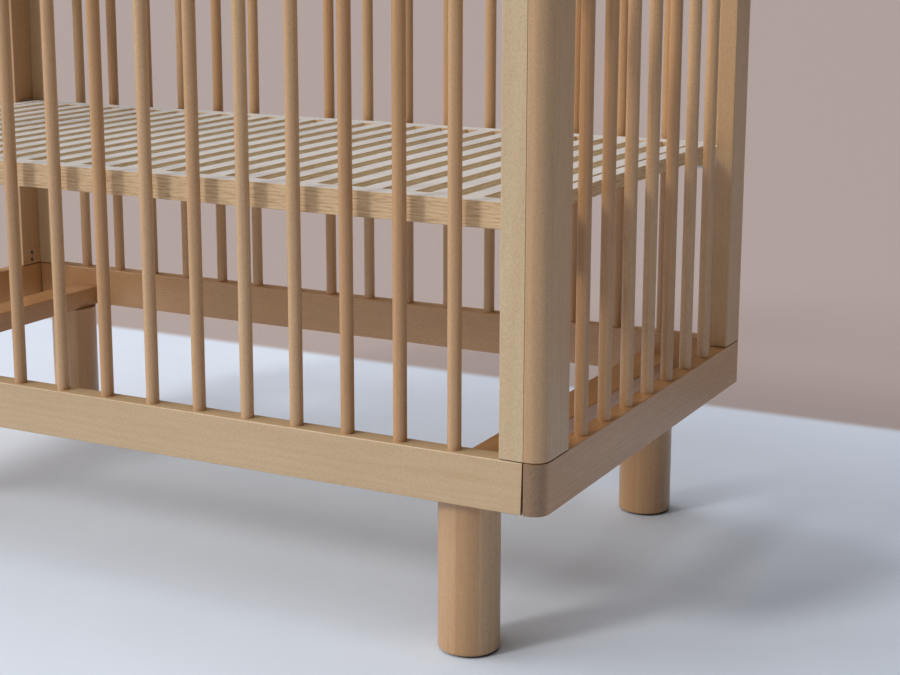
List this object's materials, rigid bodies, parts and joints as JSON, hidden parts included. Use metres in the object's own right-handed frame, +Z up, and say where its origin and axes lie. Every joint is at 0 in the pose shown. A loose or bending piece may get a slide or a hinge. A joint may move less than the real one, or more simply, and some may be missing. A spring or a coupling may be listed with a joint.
{
  "type": "baby crib",
  "caption": "Wooden baby crib with round spindles, flat corner posts, round legs set in from the corners, and a slatted mattress base that lifts out.",
  "frame": {"origin": "on the floor under the middle of the crib", "axes": "+X along the crib to the right-hand end, -Y towards the front, +Z up"},
  "size_m": [1.264, 0.676, 0.884],
  "materials": {
    "beech": "satin",
    "faced_plywood": "satin",
    "zinc_steel": "satin"
  },
  "bodies": {
    "crib_frame": {"front_bottom_rail_spindles": "beech", "front_left_base_bracket": "zinc_steel", "front_left_leg": "beech", "front_left_post": "beech", "front_left_stile": "beech", "front_right_base_bracket": "zinc_steel", "front_right_leg": "beech", "front_right_post": "beech", "front_right_stile": "beech", "front_top_rail": "beech", "left_end_bottom_rail_spindles": "beech", "left_end_top_rail": "beech", "left_leg_beam": "beech", "rear_bottom_rail_spindles": "beech", "rear_left_base_bracket": "zinc_steel", "rear_left_leg": "beech", "rear_left_post": "beech", "rear_left_stile": "beech", "rear_right_base_bracket": "zinc_steel", "rear_right_leg": "beech", "rear_right_post": "beech", "rear_right_stile": "beech", "rear_top_rail": "beech", "right_end_bottom_rail_spindles": "beech", "right_end_top_rail": "beech", "right_leg_beam": "beech"},
    "mattress_base": {"front_base_rail": "faced_plywood", "left_base_end": "faced_plywood", "rear_base_rail": "faced_plywood", "right_base_end": "faced_plywood", "slat_01": "faced_plywood", "slat_02": "faced_plywood", "slat_03": "faced_plywood", "slat_04": "faced_plywood", "slat_05": "faced_plywood", "slat_06": "faced_plywood", "slat_07": "faced_plywood", "slat_08": "faced_plywood", "slat_09": "faced_plywood", "slat_10": "faced_plywood", "slat_11": "faced_plywood", "slat_12": "faced_plywood", "slat_13": "faced_plywood", "slat_14": "faced_plywood", "slat_15": "faced_plywood", "slat_16": "faced_plywood", "slat_17": "faced_plywood", "slat_18": "faced_plywood", "slat_19": "faced_plywood", "slat_20": "faced_plywood", "slat_21": "faced_plywood", "slat_22": "faced_plywood", "slat_23": "faced_plywood", "slat_24": "faced_plywood", "slat_25": "faced_plywood", "slat_26": "faced_plywood", "slat_27": "faced_plywood"}
  },
  "joints": [
    {"name": "mattress_base_lift", "type": "slide", "parent": "crib_frame", "child": "mattress_base", "axis": [0, 0, 1], "range_m": [0, 0.402]}
  ]
}
